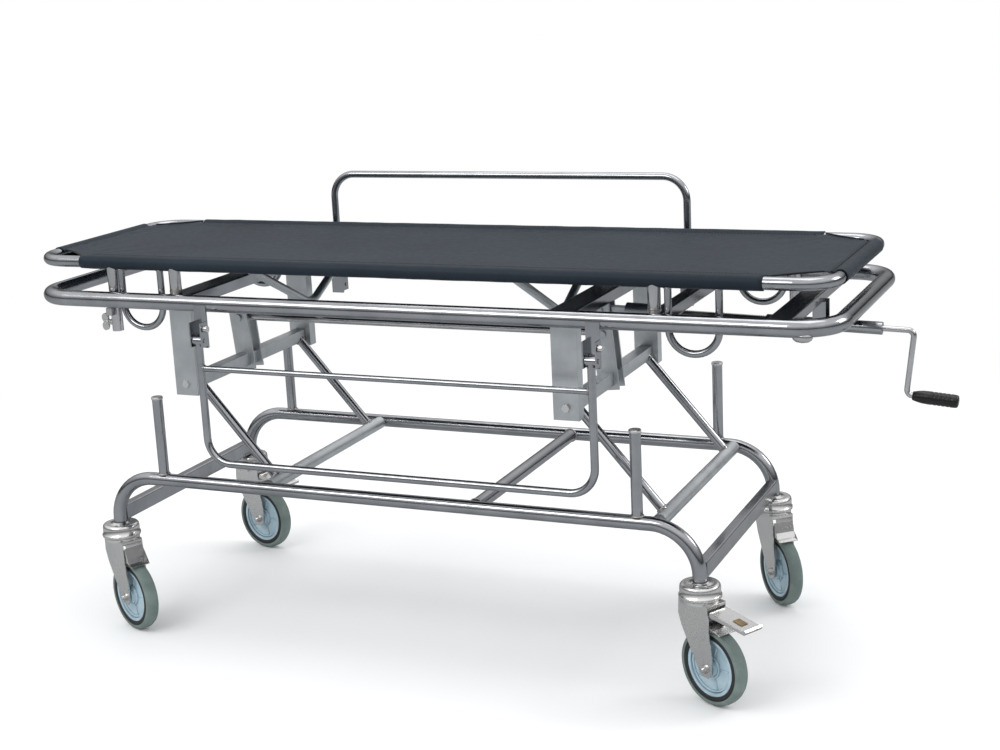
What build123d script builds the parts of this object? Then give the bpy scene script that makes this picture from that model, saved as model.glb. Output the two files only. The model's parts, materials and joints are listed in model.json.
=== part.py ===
from build123d import *
import math
import os

os.makedirs("parts", exist_ok=True)

# Hand-cranked lift cot: wheeled base, parallel lift links worked by a screw,
# carrier with guard rails, and a lift-off litter.  Millimetres, +Z up, floor
# at Z = 0, left is -X, right (crank end) +X, front -Y, back +Y.  Positions
# are given from the base centre; pos() moves them so that the origin is on
# the floor under the middle of the overall box.

BOX_MID_X, BOX_MID_Y = 137.87, -23.6     # overall-box centre from the base centre
SIDES = (-1, 1)

# ---------------------------------------------------------------- dimensions
WALL = 2.0                               # tube wall
FIT = 0.1                                # running fit, on diameter
LOOSE = 1.0                              # loose fit, on diameter
COPE = 0.02                              # fit of a coped joint, on diameter

# base
RAIL_Y, RAIL_Z, RAIL_D = 308.0, 388.0, 32.0
LEG_X, LEG_END_Z, LEG_BEND = 742.6, 266.0, 108.0
END_BAR_Z, END_BAR_HALF = 289.0, 294.0
MID_BAR_X = 221.0
POST_XS, POST_D, POST_TOP = (-599.0, 606.0), 25.0, 590.0
CAP_D, CAP_H = 28.0, 6.0

# swivel casters
HOUSING_Z, HOUSING_D = 236.0, 88.0       # housing underside and diameter
RIM_D, RIM_H = 93.0, 6.0                 # rim round the underside
STEM_D = 20.0
WHEEL_R, TRAIL = 87.5, 38.0
DISC_HALF, HUB_HALF = 14.0, 19.0
WHEEL_AXLE_D = 12.0
PEDAL_PIN_ALONG, PEDAL_PIN_Z, PEDAL_PIN_D = 40.0, 207.0, 8.0

# lift links and levers
PIVOT_XS, PIVOT_Z = (-320.0, 649.0), RAIL_Z
LINK_DX, LINK_DZ = -206.0, 238.0         # lower to upper pivot
AXLE_D, AXLE_HALF = 16.0, 293.5
PIVOT_TUBE_HALF = 287.0
ARM_Y, ARM_D = 238.0, 22.0
SHAFT, SHAFT_L = 30.0, 510.0             # square upper shaft
BOLT_BORE_DEPTH = 50.0
LEVER_LEAN = math.radians(5.5)
LEVER_W, LEVER_TAIL = 50.0, 27.0         # tail: length below the shaft centre
PLATE_T, PLATE_IN = 5.0, 16.0            # plate thickness and inner face
PIN_D, PIN_HEAD_D = 12.0, 18.0
TIE_R, NUT_R = 104.5, 160.0              # pin radii on the levers
TIE_D, EYE_D, EYE_HALF = 18.0, 24.0, 13.0

# screw drive
TRUNNION_X, TRUNNION_Z, TRUNNION_D = 935.0, 770.5, 10.0
SCREW_D, SLEEVE_D = 17.0, 28.0
SLEEVE_START, SLEEVE_END = -122.0, 131.0  # along the screw, from the trunnion
NUT_OD, NUT_ID = 38.0, 33.0
NUT_EYE_D, NUT_EYE_HALF = 28.0, 14.0
CRANK_D, CRANK_BEND = 12.5, 13.0
GRIP_D, GRIP_NECK_D = 28.0, 19.0

# carrier: loop centre, half length, half width, height, tube and bend
CAR_MID_X, CAR_HALF_L, CAR_HALF_W, CAR_Z = 55.0, 975.0, 310.9, 829.0
CAR_D, CAR_BEND = 38.0, 90.0
CAR_BAR_HALF = 293.5
BAR_X, BAR_W = 648.0, 30.0               # narrow cross bar
BRACKET_IN, BRACKET_OUT, BRACKET_W = 257.0, 286.0, 60.0
BRACKET_BOTTOM, BRACKET_TOP = 598.0, CAR_Z - 16.0
BRACKET_WALL = 3.0

# guard rails, measured from the hinge line
HINGE_XS, HINGE_Y, HINGE_Z = (-441.0, 527.0), 345.0, 748.5
HINGE_D, BARREL_D, BARREL_HALF = 10.0, 20.0, 12.0
GUARD_H, GUARD_MID, GUARD_D, GUARD_BEND = 294.5, 66.0, 18.0, 60.0
LATCH_Z, LATCH_D = HINGE_Z + 28.0, 8.0

# litter, same order as the carrier
LIT_MID_X, LIT_HALF_L, LIT_HALF_W, LIT_Z = 39.0, 976.0, 273.4, 912.0
LIT_D, LIT_BEND, LIT_WALL = 28.0, 75.0, 1.5
CROSS_XS = (-335.0, 330.0)               # V-shaped cross members
FOOT_XS, FOOT_HALF, FOOT_D, FOOT_Z = (-636.0, 730.0), 55.0, 16.0, 757.0
STANDOFF_XS = (PIVOT_XS[0] + LINK_DX - 14.0, BAR_X - 3.0)
STANDOFF_Z = CAR_Z + 14.2                # lower end, just above the cross bars

# locating dowels and their sockets: x, side, direction of the clamp screw
DOWELS = ((-716.0, -1, -1), (809.0, 1, 1))
DOWEL_D = 16.0
SOCKET_BOTTOM, SOCKET_TOP, SOCKET_D = 746.0, 806.0, 27.0
CLAMP_Z, CLAMP_D = 766.0, 8.0


# ---------------------------------------------------------------- helpers
def pos(x, y, z):
    """Point given from the base centre."""
    return Vector(x - BOX_MID_X, y - BOX_MID_Y, z)


def line_x(x0, x1, y, z):
    return pos(x0, y, z), pos(x1, y, z)


def line_y(x, z, half):
    """End points of a line along Y, centred on the centre plane."""
    return pos(x, -half, z), pos(x, half, z)


def line_z(x, y, z0, z1):
    return pos(x, y, z0), pos(x, y, z1)


# The helpers below add to the part being built.  Sketches made in them don't
# join it by themselves, so each is passed on explicitly.
def rod(start, end, diameter, bore=0.0, mode=Mode.ADD):
    """Straight round rod or tube."""
    with BuildSketch(Plane(origin=start, z_dir=end - start)) as section:
        Circle(diameter / 2)
        if bore:
            Circle(bore / 2, mode=Mode.SUBTRACT)
    extrude(to_extrude=section.sketch, amount=(end - start).length, mode=mode)


def drill(start, end, diameter):
    rod(start, end, diameter, mode=Mode.SUBTRACT)


def bent(points, radius, diameter, bore=0.0):
    """Rod or tube through the points, with one bend radius."""
    with BuildLine() as centre_line:
        FilletPolyline(*points, radius=radius)
    path = centre_line.wire()
    with BuildSketch(Plane(origin=points[0], z_dir=points[1] - points[0])) as section:
        Circle(diameter / 2)
        if bore:
            Circle(bore / 2, mode=Mode.SUBTRACT)
    sweep(sections=section.sketch, path=path)


def block(x, y, z, size_x, size_y, size_z, mode=Mode.ADD):
    """Axis-aligned block centred at (x, y, z)."""
    with BuildSketch(Plane(origin=pos(x, y, z - size_z / 2))) as section:
        Rectangle(size_x, size_y)
    extrude(to_extrude=section.sketch, amount=size_z, mode=mode)


def box_tube(x, z, size_x, size_z, half):
    """Rectangular tube along Y."""
    plane = Plane(origin=pos(x, -half, z), x_dir=(1, 0, 0), z_dir=(0, 1, 0))
    with BuildSketch(plane) as section:
        RectangleRounded(size_x, size_z, 4)
        RectangleRounded(size_x - 2 * WALL, size_z - 2 * WALL, 2, mode=Mode.SUBTRACT)
    extrude(to_extrude=section.sketch, amount=2 * half)


def tube_loop(mid_x, half_l, half_w, z, radius, diameter, wall):
    """Tube bent round a rectangle; the butt joint is at the middle of the left end."""
    half_gap = 0.3
    left, right = mid_x - half_l, mid_x + half_l
    points = [pos(left, -half_gap, z), pos(left, -half_w, z), pos(right, -half_w, z),
              pos(right, half_w, z), pos(left, half_w, z), pos(left, half_gap, z)]
    bent(points, radius, diameter, diameter - 2 * wall)


def plate(plane, outline, thickness):
    """Flat plate with a polygonal outline."""
    with BuildSketch(plane) as section:
        with BuildLine():
            Polyline(*outline, close=True)
        make_face()
    extrude(to_extrude=section.sketch, amount=thickness)


def save(builder, name):
    builder.part.label = name
    export_step(builder.part, f"parts/{name}.step")


# ---------------------------------------------------------------- base frame
with BuildPart() as base_frame:
    for side in SIDES:
        y = side * RAIL_Y
        bent([pos(-LEG_X, y, LEG_END_Z), pos(-LEG_X, y, RAIL_Z),
              pos(LEG_X, y, RAIL_Z), pos(LEG_X, y, LEG_END_Z)],
             LEG_BEND, RAIL_D, RAIL_D - 2 * WALL)
        for x in POST_XS:
            rod(*line_z(x, y, RAIL_Z + 15, POST_TOP), POST_D, POST_D - 2 * WALL)
    for x in (-LEG_X, LEG_X):
        box_tube(x, END_BAR_Z, 25.0, 38.0, END_BAR_HALF)
    rod(*line_y(MID_BAR_X, RAIL_Z, END_BAR_HALF), RAIL_D, RAIL_D - 2 * WALL)
    for x in PIVOT_XS:
        rod(*line_y(x, PIVOT_Z, AXLE_HALF), AXLE_D)
save(base_frame, "base_frame")

with BuildPart() as post_caps:
    for x in POST_XS:
        for side in SIDES:
            rod(*line_z(x, side * RAIL_Y, POST_TOP, POST_TOP + CAP_H), CAP_D)
    chamfer(post_caps.faces().sort_by(Axis.Z)[-4:].edges(), 1.5)
save(post_caps, "post_caps")

# swivel housings against the lower ends of the legs, outer top edges rounded
with BuildPart() as caster_housings:
    for x in (-LEG_X, LEG_X):
        for side in SIDES:
            y = side * RAIL_Y
            rod(*line_z(x, y, HOUSING_Z, LEG_END_Z), HOUSING_D, STEM_D + FIT)
            rod(*line_z(x, y, HOUSING_Z, HOUSING_Z + RIM_H), RIM_D, STEM_D + FIT)
    fillet([edge for edge in caster_housings.edges().filter_by(GeomType.CIRCLE)
            if edge.radius > 28 and edge.center().Z > LEG_END_Z - 1], 6.0)
save(caster_housings, "caster_housings")


# ---------------------------------------------------------------- lift links
def upper_pivot(pivot_x):
    return pivot_x + LINK_DX, PIVOT_Z + LINK_DZ


def lever_point(pivot_x, reach, across=0.0):
    """(x, z) of a point on a lever: reach up it from the shaft, across it to +X."""
    shaft_x, shaft_z = upper_pivot(pivot_x)
    sine, cosine = math.sin(LEVER_LEAN), math.cos(LEVER_LEAN)
    return (shaft_x - reach * sine + across * cosine,
            shaft_z + reach * cosine + across * sine)


def link_arms(pivot_x):
    """Round arms, coped to the pivot tube and the square shaft."""
    x, z = upper_pivot(pivot_x)
    pivot_line = line_y(pivot_x, PIVOT_Z, PIVOT_TUBE_HALF)
    for side in SIDES:
        rod(pos(pivot_x, side * ARM_Y, PIVOT_Z), pos(x, side * ARM_Y, z), ARM_D)
    drill(*pivot_line, RAIL_D)
    block(x, 0, z, SHAFT, SHAFT_L, SHAFT, mode=Mode.SUBTRACT)
    # trim what is left beyond the shaft
    block(x - 40.0, 0, z + 25.0, 80.0, SHAFT_L, 50.0, mode=Mode.SUBTRACT)


def link(pivot_x, bolt_bore):
    """Pivot tube and square shaft, bored for the axle and the bracket bolts."""
    x, z = upper_pivot(pivot_x)
    pivot_line = line_y(pivot_x, PIVOT_Z, PIVOT_TUBE_HALF)
    rod(*pivot_line, RAIL_D)
    block(x, 0, z, SHAFT, SHAFT_L, SHAFT)
    drill(*pivot_line, AXLE_D + FIT)
    for side in SIDES:
        shaft_end = SHAFT_L / 2
        drill(pos(x, side * shaft_end, z),
              pos(x, side * (shaft_end - BOLT_BORE_DEPTH), z), bolt_bore)


def lever(pivot_x, top, pin_reaches):
    """Two plates either side of the centre plane, cut for the shaft, with pins."""
    half_w = LEVER_W / 2
    corners = ((-LEVER_TAIL, -half_w), (-LEVER_TAIL, half_w), (top, half_w), (top, -half_w))
    outline = [lever_point(pivot_x, reach, across) for reach, across in corners]
    plate_out = PLATE_IN + PLATE_T
    for y in (-plate_out, PLATE_IN):
        plane = Plane(origin=pos(0, y, 0), x_dir=(1, 0, 0), z_dir=(0, -1, 0))
        with BuildSketch(plane) as section:
            with BuildLine():
                Polyline(*outline, close=True)
            make_face()
            with Locations(upper_pivot(pivot_x)):
                Rectangle(SHAFT + FIT, SHAFT + FIT, mode=Mode.SUBTRACT)
        extrude(to_extrude=section.sketch, amount=-PLATE_T)
    for reach in pin_reaches:
        x, z = lever_point(pivot_x, reach)
        rod(*line_y(x, z, plate_out + 4), PIN_D)
        for side in SIDES:
            rod(pos(x, side * plate_out, z), pos(x, side * (plate_out + 5), z), PIN_HEAD_D)


# side, lower pivot x, bolt bore, lever top, lever pins
LINKS = (
    ("left", PIVOT_XS[0], PIN_D + FIT, TIE_R + 24, (TIE_R,)),
    ("right", PIVOT_XS[1], PIN_D + LOOSE, NUT_R + 17, (TIE_R, NUT_R)),
)
for side_name, pivot_x, bolt_bore, lever_top, pin_reaches in LINKS:
    with BuildPart() as arms_part:
        link_arms(pivot_x)
    save(arms_part, f"link_arms_{side_name}")

    with BuildPart() as link_part:
        link(pivot_x, bolt_bore)
    save(link_part, f"link_{side_name}")

    with BuildPart() as lever_part:
        lever(pivot_x, lever_top, pin_reaches)
    save(lever_part, f"lever_{side_name}")

# tie rod with an eye at each end, between the lever plates
tie_left_x, tie_z = lever_point(PIVOT_XS[0], TIE_R)
tie_right_x = lever_point(PIVOT_XS[1], TIE_R)[0]
with BuildPart() as tie_rod:
    rod(*line_x(tie_left_x, tie_right_x, 0, tie_z), TIE_D)
    for x in (tie_left_x, tie_right_x):
        rod(*line_y(x, tie_z, EYE_HALF), EYE_D)
    drill(*line_y(tie_left_x, tie_z, EYE_HALF), PIN_D + FIT)
    drill(*line_y(tie_right_x, tie_z, EYE_HALF), PIN_D + LOOSE)
save(tie_rod, "tie_rod")

# ---------------------------------------------------------------- screw drive
nut_x, nut_z = lever_point(PIVOT_XS[1], NUT_R)
trunnion = pos(TRUNNION_X, 0, TRUNNION_Z)
nut_pin = pos(nut_x, 0, nut_z)
screw_span = (trunnion - nut_pin).length
screw_axis = (trunnion - nut_pin).normalized()    # toward the crank


def on_screw(along, drop=0.0):
    """Point along the screw axis from the trunnion, and drop below the axis."""
    return trunnion + screw_axis * along + Vector(screw_axis.Z, 0, -screw_axis.X) * drop


# eye, flat bar, collar and open tube
with BuildPart() as nut_tube:
    rod(*line_y(nut_x, nut_z, NUT_EYE_HALF), NUT_EYE_D)
    with BuildSketch(Plane(origin=nut_pin, x_dir=(0, 1, 0), z_dir=screw_axis)) as bar:
        Rectangle(24, 18)
    extrude(to_extrude=bar.sketch, amount=66.0)
    rod(nut_pin + screw_axis * 60.0, nut_pin + screw_axis * 68.0, NUT_OD)
    rod(nut_pin + screw_axis * 68.0, nut_pin + screw_axis * 172.0, NUT_OD, NUT_ID)
    drill(*line_y(nut_x, nut_z, NUT_EYE_HALF), PIN_D + FIT)
save(nut_tube, "nut_tube")

with BuildPart() as screw_sleeve:
    rod(on_screw(SLEEVE_START), on_screw(SLEEVE_END), SLEEVE_D)
    rod(*line_y(TRUNNION_X, TRUNNION_Z, 23.5), TRUNNION_D)
    drill(on_screw(SLEEVE_START - 1), on_screw(SLEEVE_END + 1), SCREW_D + FIT)
save(screw_sleeve, "screw_sleeve")

with BuildPart() as lead_screw:
    rod(on_screw(-screw_span + 84.0), on_screw(SLEEVE_END), SCREW_D)
save(lead_screw, "lead_screw")

crank_elbow, crank_end = on_screw(187.0, 143.0), on_screw(284.0, 148.0)
with BuildPart() as crank_rod:
    bent([on_screw(SLEEVE_END), on_screw(199.0), crank_elbow, crank_end], CRANK_BEND, CRANK_D)
save(crank_rod, "crank_rod")

grip_axis = (crank_end - crank_elbow).normalized()


def on_grip(along):
    """Point on the grip axis, measured outward from the crank rod end."""
    return crank_end + grip_axis * along


# tapered neck, then a cylinder with a rounded outer end
with BuildPart() as crank_grip:
    with BuildSketch(Plane(origin=on_grip(-80.0), x_dir=(0, 1, 0), z_dir=grip_axis)) as neck:
        Circle(GRIP_NECK_D / 2)
    with BuildSketch(Plane(origin=on_grip(-66.0), x_dir=(0, 1, 0), z_dir=grip_axis)) as shoulder:
        Circle(GRIP_D / 2)
    loft(sections=[neck.sketch, shoulder.sketch])
    rod(on_grip(-66.0), on_grip(14.0), GRIP_D)
    fillet(crank_grip.edges().filter_by(GeomType.CIRCLE).sort_by(Axis.X)[-1], 4.0)
    drill(on_grip(-81.0), on_grip(0.5), CRANK_D + FIT)
save(crank_grip, "crank_grip")

# ---------------------------------------------------------------- carrier
with BuildPart() as carrier_frame:
    tube_loop(CAR_MID_X, CAR_HALF_L, CAR_HALF_W, CAR_Z, CAR_BEND, CAR_D, WALL)
    for pivot_x in PIVOT_XS:
        box_tube(upper_pivot(pivot_x)[0], CAR_Z - 1, BRACKET_W, 30.0, CAR_BAR_HALF)
    box_tube(BAR_X, CAR_Z - 1, BAR_W, 30.0, CAR_BAR_HALF)
    box_tube(911.0, CAR_Z, 50.0, 25.0, CAR_BAR_HALF)
    for side in SIDES:
        # hanger plate for the screw trunnion
        block(933.0, side * 19.5, 791.0, 28.0, 5.0, 66.0)
        # guard-rail hinges: back plate, two ears, hinge pin and latch hole
        for x in HINGE_XS:
            block(x, side * 329.0, 779.0, 32.0, 6.0, 100.0)
            for ear in SIDES:
                block(x + ear * 14.5, side * 343.0, 763.0, 3.0, 28.0, 58.0)
            rod(*line_x(x - 18.0, x + 18.0, side * HINGE_Y, HINGE_Z), HINGE_D)
            drill(*line_x(x + 10.0, x + 20.0, side * HINGE_Y, LATCH_Z), LATCH_D + FIT)
    drill(*line_y(TRUNNION_X, TRUNNION_Z, 30.0), TRUNNION_D + FIT)
save(carrier_frame, "carrier_frame")

# rectangular tubes hanging from the carrier, outside the shaft ends
with BuildPart() as hanger_brackets:
    depth = BRACKET_OUT - BRACKET_IN
    height = BRACKET_TOP - BRACKET_BOTTOM
    mid_z = (BRACKET_BOTTOM + BRACKET_TOP) / 2
    for pivot_x in PIVOT_XS:
        x, z = upper_pivot(pivot_x)
        for side in SIDES:
            y = side * (BRACKET_IN + BRACKET_OUT) / 2
            block(x, y, mid_z, BRACKET_W, depth, height)
            block(x, y, mid_z, BRACKET_W - 2 * BRACKET_WALL, depth - 2 * BRACKET_WALL,
                  height + 2, mode=Mode.SUBTRACT)
            drill(pos(x, side * 250.0, z), pos(x, side * 290.0, z), PIN_D)
save(hanger_brackets, "hanger_brackets")

with BuildPart() as bracket_bolts:
    for pivot_x in PIVOT_XS:
        x, z = upper_pivot(pivot_x)
        for side in SIDES:
            rod(pos(x, side * 210.0, z), pos(x, side * (BRACKET_OUT + 0.5), z), PIN_D)
            head_plane = Plane(origin=pos(x, side * BRACKET_OUT, z), x_dir=(1, 0, 0),
                               z_dir=(0, side, 0))
            with BuildSketch(head_plane) as head:
                RegularPolygon(10.0, 6)
            extrude(to_extrude=head.sketch, amount=6.0)
save(bracket_bolts, "bracket_bolts")

# clamp sockets for the litter dowels, on lugs coped to the carrier side tubes
with BuildPart() as clamp_sockets:
    for x, side, clamp in DOWELS:
        y = side * LIT_HALF_W
        rod(*line_z(x, y, SOCKET_BOTTOM, SOCKET_TOP), SOCKET_D)
        block(x, side * 293.0, 797.0, 16.0, 22.0, 18.0)
        rod(*line_x(x + clamp * 5.0, x + clamp * 19.0, y, CLAMP_Z), 14.0)
        drill(*line_z(x, y, SOCKET_BOTTOM - 1, SOCKET_TOP + 1), DOWEL_D + FIT)
        drill(*line_x(x, x + clamp * 20.0, y, CLAMP_Z), CLAMP_D + FIT)
        drill(*line_x(x - 30.0, x + 30.0, side * CAR_HALF_W, CAR_Z), CAR_D + COPE)
save(clamp_sockets, "clamp_sockets")


def thumb_screw(x, side, clamp):
    """Wing screw along X, shank in the socket boss."""
    y = side * LIT_HALF_W
    rod(*line_x(x + clamp * 9.0, x + clamp * 30.0, y, CLAMP_Z), CLAMP_D)
    rod(*line_x(x + clamp * 24.0, x + clamp * 34.0, y, CLAMP_Z), 14.0)
    for wing in SIDES:
        plane = Plane(origin=pos(x + clamp * 34.0, y - 3.0, CLAMP_Z + wing * 10.0),
                      x_dir=(1, 0, 0), z_dir=(0, 1, 0))
        with BuildSketch(plane) as section:
            Ellipse(9.0, 11.0)
        extrude(to_extrude=section.sketch, amount=6.0)


for side_name, dowel in zip(("front", "back"), DOWELS):
    with BuildPart() as thumb_part:
        thumb_screw(*dowel)
    save(thumb_part, f"thumb_screw_{side_name}")


# ---------------------------------------------------------------- guard rails
def guard_rail(side, up):
    """U-shaped rail with a mid bar and hinge barrels; up is 1 raised, -1 lowered."""
    y = side * HINGE_Y
    left, right = HINGE_XS
    far_z = HINGE_Z + up * GUARD_H
    bent([pos(left, y, HINGE_Z), pos(left, y, far_z), pos(right, y, far_z),
          pos(right, y, HINGE_Z)], GUARD_BEND, GUARD_D)
    rod(*line_x(left, right, y, HINGE_Z + up * GUARD_MID), 14.0)
    for x in HINGE_XS:
        rod(*line_x(x - BARREL_HALF, x + BARREL_HALF, y, HINGE_Z), BARREL_D)
        drill(*line_x(x - BARREL_HALF - 1, x + BARREL_HALF + 1, y, HINGE_Z), HINGE_D + FIT)


for side_name, side, up in (("front", -1, -1), ("back", 1, 1)):
    with BuildPart() as guard_part:
        guard_rail(side, up)
    save(guard_part, f"guard_rail_{side_name}")

    # latch: plunger and knob above the hinge
    for end_name, x in zip(("left", "right"), HINGE_XS):
        with BuildPart() as latch:
            rod(*line_x(x + 9.6, x + 20.0, side * HINGE_Y, LATCH_Z), LATCH_D)
            rod(*line_x(x + 17.0, x + 27.0, side * HINGE_Y, LATCH_Z), 15.0)
        save(latch, f"latch_{side_name}_{end_name}")

# ---------------------------------------------------------------- litter
with BuildPart() as litter_frame:
    tube_loop(LIT_MID_X, LIT_HALF_L, LIT_HALF_W, LIT_Z, LIT_BEND, LIT_D, LIT_WALL)
save(litter_frame, "litter_frame")


def clear_side_tubes():
    """Cope the current part to the litter side tubes."""
    for side in SIDES:
        drill(*line_x(-1100.0, 1200.0, side * LIT_HALF_W, LIT_Z), LIT_D + COPE)


with BuildPart() as litter_cross_members:
    for x in CROSS_XS:
        bent([pos(x, -LIT_HALF_W, LIT_Z - 6.0), pos(x, 0, 770.0),
              pos(x, LIT_HALF_W, LIT_Z - 6.0)], 70.0, 20.0)
    clear_side_tubes()
save(litter_cross_members, "litter_cross_members")

with BuildPart() as litter_feet:
    for foot_x in FOOT_XS:
        left, right = foot_x - FOOT_HALF, foot_x + FOOT_HALF
        for side in SIDES:
            y = side * LIT_HALF_W
            bent([pos(left, y, LIT_Z - 8.0), pos(left, y, FOOT_Z), pos(right, y, FOOT_Z),
                  pos(right, y, LIT_Z - 8.0)], FOOT_HALF - 1.0, FOOT_D)
    clear_side_tubes()
save(litter_feet, "litter_feet")

with BuildPart() as standoff_posts:
    for x in STANDOFF_XS:
        for side in SIDES:
            rod(*line_z(x, side * LIT_HALF_W, LIT_Z - 6.0, STANDOFF_Z), LIT_D)
    clear_side_tubes()
save(standoff_posts, "standoff_posts")

# thick upper post with a dowel that enters the socket
with BuildPart() as locating_dowels:
    for x, side, _ in DOWELS:
        y = side * LIT_HALF_W
        rod(*line_z(x, y, LIT_Z - 6.0, SOCKET_TOP + 0.5), 26.0)
        rod(*line_z(x, y, SOCKET_TOP + 2.0, SOCKET_BOTTOM + 4.0), DOWEL_D)
    clear_side_tubes()
save(locating_dowels, "locating_dowels")

# fabric sheet sleeved over the side and end tubes, corners left open
SHEET_L = LIT_HALF_L - LIT_BEND - 60.0   # half length of the side sleeves
SHEET_W = LIT_HALF_W - LIT_BEND - 14.0   # half length of the end sleeves
SLEEVE_OD, SLEEVE_ID = LIT_D + 5.2, LIT_D + 0.4
SHEET_OUTLINE = (
    (-LIT_HALF_L, -SHEET_W), (-SHEET_L, -LIT_HALF_W), (SHEET_L, -LIT_HALF_W),
    (LIT_HALF_L, -SHEET_W), (LIT_HALF_L, SHEET_W), (SHEET_L, LIT_HALF_W),
    (-SHEET_L, LIT_HALF_W), (-LIT_HALF_L, SHEET_W),
)
# x and side where feet, standoffs and dowels meet the tube
openings = [(x + end * FOOT_HALF, side) for x in FOOT_XS for end in SIDES for side in SIDES]
openings += [(x, side) for x in STANDOFF_XS for side in SIDES]
openings += [(x, side) for x, side, _ in DOWELS]

with BuildPart() as deck_cover:
    plate(Plane(origin=pos(LIT_MID_X, 0, LIT_Z + LIT_D / 2 + 0.2)), SHEET_OUTLINE, 2.4)
    for side in SIDES:
        rod(*line_x(LIT_MID_X - SHEET_L, LIT_MID_X + SHEET_L, side * LIT_HALF_W, LIT_Z),
            SLEEVE_OD, SLEEVE_ID)
        rod(*line_y(LIT_MID_X + side * LIT_HALF_L, LIT_Z, SHEET_W), SLEEVE_OD, SLEEVE_ID)
    for x, side in openings:
        block(x, side * (LIT_HALF_W - 2.0), LIT_Z - 14.0, 32.0, 44.0, 18.0,
              mode=Mode.SUBTRACT)
    for x in CROSS_XS:
        for side in SIDES:
            block(x, side * (LIT_HALF_W - 16.0), LIT_Z - 7.0, 32.0, 56.0, 27.0,
                  mode=Mode.SUBTRACT)
save(deck_cover, "deck_cover")

# ---------------------------------------------------------------- casters
# Outlines seen from the side: distance along the trail from the stem, height.
CHEEK = (
    (-38, 230), (-40, 196), (-30, 168), (TRAIL - 17, 78), (TRAIL - 10, 69),
    (TRAIL + 10, 69), (TRAIL + 17, 78), (TRAIL + 20, 120), (50, 172), (47, 230),
)
HOOD = (
    (-40, 190), (-40, 208), (-37, 228), (47, 228), (47, 222), (-31, 222), (-35, 206),
    (-35, 190),
)
PEDAL_ROOT = ((33, 202), (33, 214), (40, 219), (58, 217), (58, 203), (44, 199))
PEDAL_TREAD = ((52, 218), (146, 203), (152, 207), (156, 203), (151, 196), (52, 208))
# tyre section: depth below the tread, distance across from the middle
TYRE_SECTION = (
    (12, -16), (8, -17), (4, -15), (1.2, -10), (0, -4),
    (0, 4), (1.2, 10), (4, 15), (8, 17), (12, 16),
)


# A caster's place is (x, y, heading); it trails along the heading from the stem.
def local(place, along=0.0, across=0.0, z=0.0):
    """Point in a caster's own frame."""
    x, y, heading = place
    cosine, sine = math.cos(heading), math.sin(heading)
    return pos(x + along * cosine - across * sine, y + along * sine + across * cosine, z)


def cross_line(place, along, z, half):
    """Line parallel to the wheel axle, centred on the wheel plane."""
    return local(place, along, -half, z), local(place, along, half, z)


def side_plane(place, across):
    """Upright plane: local X is the trail direction, local Y is up."""
    cosine, sine = math.cos(place[2]), math.sin(place[2])
    return Plane(origin=local(place, 0, across), x_dir=(cosine, sine, 0),
                 z_dir=(sine, -cosine, 0))


def fork(place, has_pedal):
    """Stem, top disc, two tapered cheeks, hood, axle with end washers, pedal pin."""
    rod(local(place, z=228.0), local(place, z=262.0), STEM_D)
    rod(local(place, z=226.0), local(place, z=234.0), 86.0)
    for across in (-25.0, 28.0):
        plate(side_plane(place, across), CHEEK, 3.0)
    plate(side_plane(place, 26.0), HOOD, 52.0)
    rod(*cross_line(place, TRAIL, WHEEL_R, 28.0), WHEEL_AXLE_D)
    for side in SIDES:
        rod(local(place, TRAIL, side * 28.0, WHEEL_R),
            local(place, TRAIL, side * 31.0, WHEEL_R), 20.0)
    if has_pedal:
        rod(*cross_line(place, PEDAL_PIN_ALONG, PEDAL_PIN_Z, 27.0), PEDAL_PIN_D)


def wheel(place):
    """Disc with a ring-shaped recess in each face, and a bored hub."""
    rod(*cross_line(place, TRAIL, WHEEL_R, DISC_HALF), 2 * WHEEL_R - 24.2)
    for side in SIDES:
        rod(local(place, TRAIL, side * DISC_HALF, WHEEL_R),
            local(place, TRAIL, side * (DISC_HALF - 7.0), WHEEL_R),
            116.0, 42.0, mode=Mode.SUBTRACT)
    rod(*cross_line(place, TRAIL, WHEEL_R, HUB_HALF), 34.0)
    drill(*cross_line(place, TRAIL, WHEEL_R, HUB_HALF + 1), WHEEL_AXLE_D + FIT)


def tyre(place):
    cosine, sine = math.cos(place[2]), math.sin(place[2])
    centre = local(place, TRAIL, 0, WHEEL_R)
    plane = Plane(origin=centre, x_dir=(0, 0, 1), z_dir=(-cosine, -sine, 0))
    with BuildSketch(plane) as section:
        with BuildLine():
            Polyline(*[(WHEEL_R - depth, across) for depth, across in TYRE_SECTION],
                     close=True)
        make_face()
    revolve(profiles=section.sketch, axis=Axis(centre, (-sine, cosine, 0)),
            revolution_arc=360)


def pedal(place):
    """Broad tread plate with a narrower root bored for the pin."""
    plate(side_plane(place, 21.0), PEDAL_ROOT, 42.0)
    plate(side_plane(place, 26.0), PEDAL_TREAD, 52.0)
    drill(*cross_line(place, PEDAL_PIN_ALONG, PEDAL_PIN_Z, 22.0), PEDAL_PIN_D + FIT)


# name, x, y, heading in degrees, has a pedal
CASTERS = (
    ("front_left", -LEG_X, -RAIL_Y, -25, False),
    ("front_right", LEG_X, -RAIL_Y, -28, True),
    ("back_left", -LEG_X, RAIL_Y, -15, True),
    ("back_right", LEG_X, RAIL_Y, -48, False),
)
for name, x, y, heading, has_pedal in CASTERS:
    place = (x, y, math.radians(heading))
    with BuildPart() as fork_part:
        fork(place, has_pedal)
    save(fork_part, f"fork_{name}")

    with BuildPart() as wheel_part:
        wheel(place)
    save(wheel_part, f"wheel_{name}")

    with BuildPart() as tyre_part:
        tyre(place)
    save(tyre_part, f"tyre_{name}")

    if has_pedal:
        with BuildPart() as pedal_part:
            pedal(place)
        save(pedal_part, f"pedal_{name}")
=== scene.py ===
import json
import math

import bmesh
import bpy
from mathutils import Matrix, Vector, noise


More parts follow.
